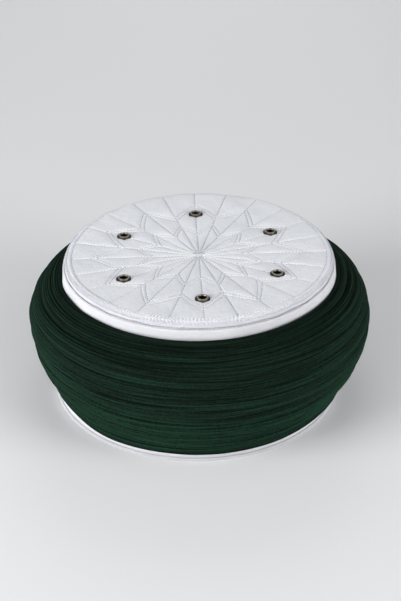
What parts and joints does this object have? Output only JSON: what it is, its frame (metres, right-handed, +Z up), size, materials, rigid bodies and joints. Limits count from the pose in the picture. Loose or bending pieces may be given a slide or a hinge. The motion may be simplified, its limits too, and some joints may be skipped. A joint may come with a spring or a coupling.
{
  "type": "turban",
  "caption": "Flat-topped quilted cap with metal vent eyelets and a thick ring of dark green cloth wound round it in shallow folds, open underneath.",
  "frame": {"origin": "on the table under the middle of the object, in the plane of the hem band's flat underside", "axes": "+Z up out of the crown, -Y towards the front seen in the picture, +X to its right"},
  "size_m": [0.2249, 0.2255, 0.0981],
  "materials": {
    "cap_wall": "matt white cotton over a stiff wall",
    "crown_panel": "matt white quilted cotton",
    "hem_band": "matt white cotton tape",
    "wrap_band": "matt dark green cotton in fine folds",
    "eyelet": "dark antique metal"
  },
  "bodies": {
    "root": {"cap_wall": "cap_wall", "crown_panel": "crown_panel", "hem_band": "hem_band", "wrap_band": "wrap_band", "eyelet_1": "eyelet", "eyelet_2": "eyelet", "eyelet_3": "eyelet", "eyelet_4": "eyelet", "eyelet_5": "eyelet", "eyelet_6": "eyelet"}
  },
  "joints": []
}
